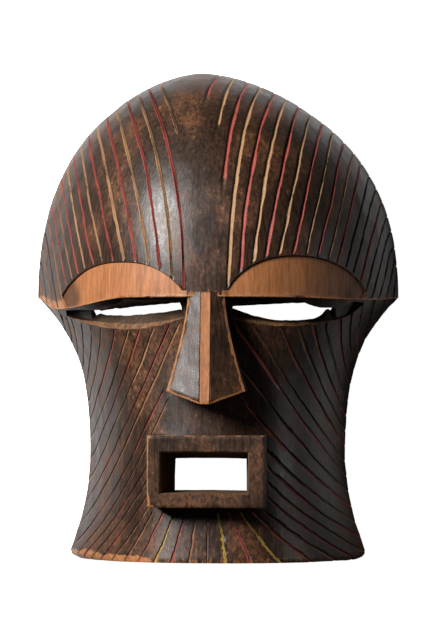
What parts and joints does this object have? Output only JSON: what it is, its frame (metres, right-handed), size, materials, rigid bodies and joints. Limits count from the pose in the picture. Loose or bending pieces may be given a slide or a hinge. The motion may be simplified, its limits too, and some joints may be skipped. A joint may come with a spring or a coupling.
{
  "type": "songye kifwebe mask",
  "caption": "Carved wooden face mask with a striped dome, slit eyes, wedge nose and square mouth, hollowed like a bowl from behind; it lies on its back rim.",
  "frame": {"origin": "the middle of the whole mask seen from the front, on the plane of the flat back rim it lies on", "axes": "+X to the viewer's right, +Y up the face towards the crest, +Z out of the face"},
  "size_m": [0.276, 0.3708, 0.132],
  "materials": {
    "stained_wood": "dark brown stained and worn carved wood with red, cream and ochre pigment in the grooves, bare wood on the lids and the nose ridge"
  },
  "bodies": {
    "root": {"mask": "stained_wood"}
  },
  "joints": []
}
